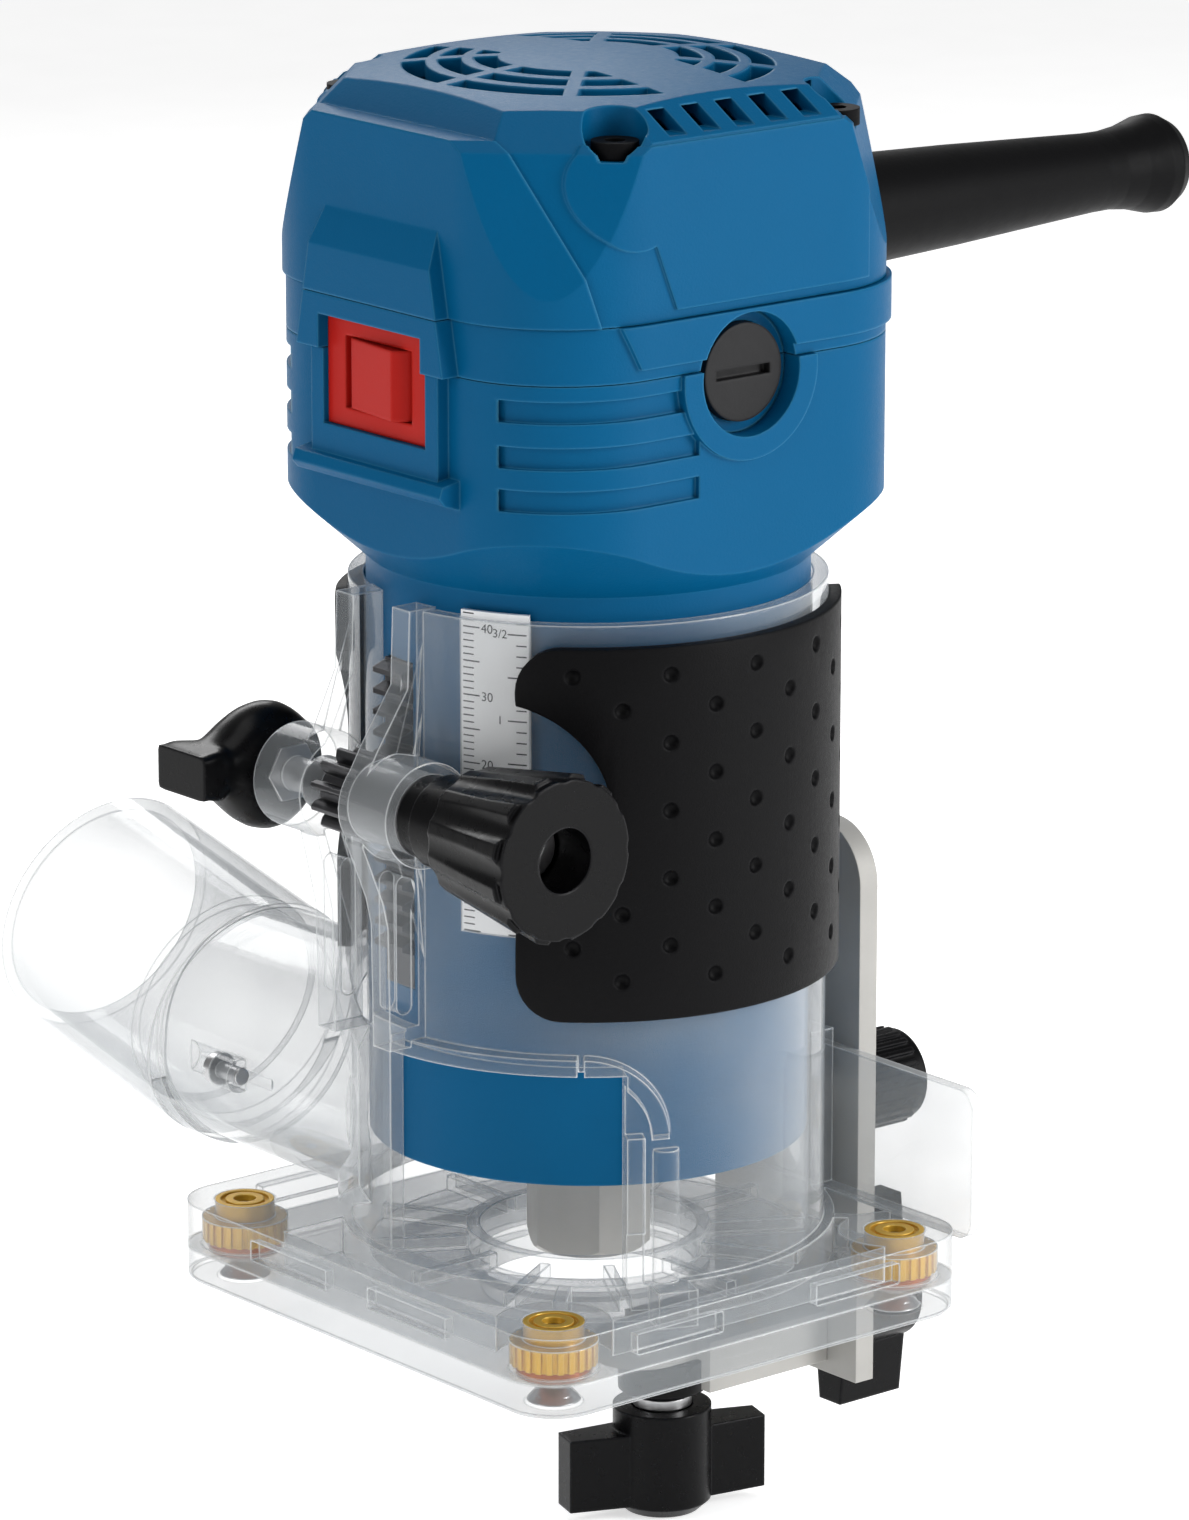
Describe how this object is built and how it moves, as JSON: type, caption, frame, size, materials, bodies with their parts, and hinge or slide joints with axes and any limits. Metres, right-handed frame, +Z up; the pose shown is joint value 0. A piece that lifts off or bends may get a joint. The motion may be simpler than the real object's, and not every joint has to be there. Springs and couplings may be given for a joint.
{
  "type": "laminate trimmer",
  "caption": "Compact edge trimmer: motor sliding in a clear clamp base with rack-and-pinion depth knob, clamp lever, chip duct and an adjustable roller guide.",
  "frame": {"origin": "on the spindle axis at the underside of the sole plate", "axes": "+Z up the spindle to the cap, -X to the switch and the clamp, -Y to the side with the depth knob, +X to the cord and the roller guide"},
  "size_m": [0.1697, 0.1462, 0.2244],
  "materials": {
    "clear_plastic": "clear moulded polycarbonate",
    "blue_plastic": "blue glass-filled nylon, fine spark texture",
    "red_plastic": "red nylon",
    "black_plastic": "black nylon, satin",
    "grip_rubber": "soft black overmould with dimples",
    "white_plate": "printed white plate",
    "brass": "turned and knurled",
    "copper": "copper",
    "steel": "blued grey steel",
    "bright_steel": "zinc plated steel",
    "lamination": "stacked electrical steel",
    "carbon": "carbon",
    "film_case": "yellow cast case"
  },
  "bodies": {
    "base": {"base_sleeve": "clear_plastic", "sub_base": "clear_plastic", "corner_nuts": "brass", "seal_rings": "copper", "base_screws": "bright_steel", "right_grip": "grip_rubber", "left_grip": "grip_rubber", "scale_plate": "white_plate", "dust_hood": "clear_plastic", "hood_screws": "bright_steel", "clamp_bolt": "bright_steel", "guide_insert": "brass", "chip_shield": "clear_plastic"},
    "motor": {"motor_housing": "blue_plastic", "housing_band": "blue_plastic", "top_cover": "blue_plastic", "cover_screws": "bright_steel", "rack": "steel", "switch_bezel": "red_plastic", "switch_module": "black_plastic", "cord_sleeve": "black_plastic", "cord_clamp": "black_plastic", "capacitor": "film_case", "bearing_bridge": "black_plastic", "upper_bearing": "bright_steel", "lower_bearing": "bright_steel", "stator_core": "lamination", "field_windings": "copper", "brush_holders": "brass", "carbon_brushes": "carbon", "brush_springs": "bright_steel"},
    "rocker": {"switch_rocker": "red_plastic"},
    "right_cap": {"brush_cap_right": "black_plastic"},
    "left_cap": {"brush_cap_left": "black_plastic"},
    "armature": {"spindle": "bright_steel", "rotor_core": "lamination", "rotor_windings": "copper", "commutator": "copper", "fan": "black_plastic", "collet": "bright_steel"},
    "nut": {"collet_nut": "steel"},
    "knob": {"depth_knob": "black_plastic", "pinion_gear": "steel"},
    "lever": {"clamp_lever": "black_plastic", "lever_nut": "bright_steel"},
    "guide": {"guide_plate": "steel"},
    "arm": {"guide_arm": "steel"},
    "carriage": {"roller_nut": "bright_steel"},
    "roller_screw": {"roller_wing": "black_plastic", "roller_stud": "bright_steel"},
    "roller": {"guide_roller": "black_plastic"},
    "arm_screw": {"arm_wing": "black_plastic", "arm_stud": "bright_steel"},
    "guide_screw": {"guide_knob": "black_plastic", "guide_knob_stud": "bright_steel"}
  },
  "joints": [
    {"name": "depth_slide", "type": "slide", "parent": "base", "child": "motor", "axis": [0, 0, 1], "range_m": [-0.003, 0.02]},
    {"name": "pinion_turn", "type": "hinge", "parent": "base", "child": "knob", "pos_m": [-0.0395, 0, 0.082], "axis": [0, 1, 0], "range_deg": [-212, 34]},
    {"name": "clamp_lever_turn", "type": "hinge", "parent": "base", "child": "lever", "pos_m": [-0.0395, 0.025, 0.082], "axis": [0, 1, 0], "range_deg": [-70, 50]},
    {"name": "armature_spin", "type": "hinge", "parent": "motor", "child": "armature", "pos_m": [0, 0, 0.09], "axis": [0, 0, 1], "continuous": true},
    {"name": "collet_nut_turn", "type": "hinge", "parent": "armature", "child": "nut", "pos_m": [0, 0, 0.015], "axis": [0, 0, 1], "range_deg": [-360, 0]},
    {"name": "switch_rock", "type": "hinge", "parent": "motor", "child": "rocker", "pos_m": [-0.0346, 0, 0.1435], "axis": [0, 0, 1], "range_deg": [0, 14]},
    {"name": "right_cap_turn", "type": "hinge", "parent": "motor", "child": "right_cap", "pos_m": [0, -0.034, 0.145], "axis": [0, -1, 0], "range_deg": [0, 360]},
    {"name": "left_cap_turn", "type": "hinge", "parent": "motor", "child": "left_cap", "pos_m": [0, 0.034, 0.145], "axis": [0, 1, 0], "range_deg": [0, 360]},
    {"name": "guide_height", "type": "slide", "parent": "base", "child": "guide", "axis": [0, 0, 1], "range_m": [-0.015, 0.005]},
    {"name": "arm_height", "type": "slide", "parent": "guide", "child": "arm", "axis": [0, 0, 1], "range_m": [0, 0.003]},
    {"name": "roller_reach", "type": "slide", "parent": "arm", "child": "carriage", "axis": [1, 0, 0], "range_m": [-0.0025, 0.006]},
    {"name": "roller_screw_turn", "type": "hinge", "parent": "carriage", "child": "roller_screw", "pos_m": [0.0145, 0, -0.025], "axis": [0, 0, 1], "range_deg": [-180, 180]},
    {"name": "roller_spin", "type": "hinge", "parent": "roller_screw", "child": "roller", "pos_m": [0.0145, 0, -0.017], "axis": [0, 0, 1], "continuous": true},
    {"name": "arm_screw_turn", "type": "hinge", "parent": "arm", "child": "arm_screw", "pos_m": [0.045, 0, -0.0135], "axis": [1, 0, 0], "range_deg": [-180, 180]},
    {"name": "guide_screw_turn", "type": "hinge", "parent": "base", "child": "guide_screw", "pos_m": [0.045, 0, 0.021], "axis": [1, 0, 0], "range_deg": [-360, 360]}
  ],
  "couplings": [
    {"joint": "pinion_turn", "follows": "depth_slide", "rad_per_m": -181.82}
  ]
}
